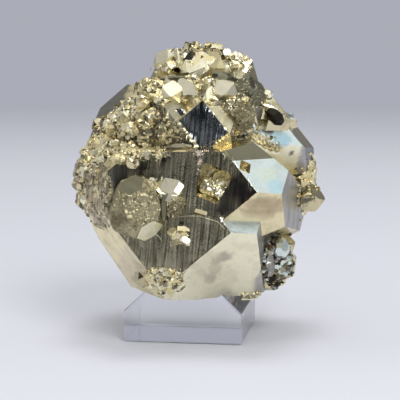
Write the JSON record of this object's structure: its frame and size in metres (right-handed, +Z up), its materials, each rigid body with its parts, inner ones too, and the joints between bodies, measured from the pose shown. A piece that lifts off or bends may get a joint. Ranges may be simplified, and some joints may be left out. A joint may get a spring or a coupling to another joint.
{
  "type": "pyrite crystal specimen on a display block",
  "caption": "Cluster of intergrown metallic cubic crystals with cut corners, resting on a low clear block with two bevelled upper edges.",
  "frame": {"origin": "middle of the display block's underside, on the table", "axes": "+Z up; the specimen's large striated face looks along -Y, and +X is to the right of someone looking at it"},
  "size_m": [0.0519, 0.0482, 0.0602],
  "materials": {
    "pyrite": "natural metallic crystal faces: striated olive-dark, brassy cream and light blue-white, with gold crusts",
    "clear_acrylic": "clear and polished, see-through"
  },
  "bodies": {
    "root": {"pyrite_cluster": "pyrite", "acrylic_stand": "clear_acrylic"}
  },
  "joints": []
}
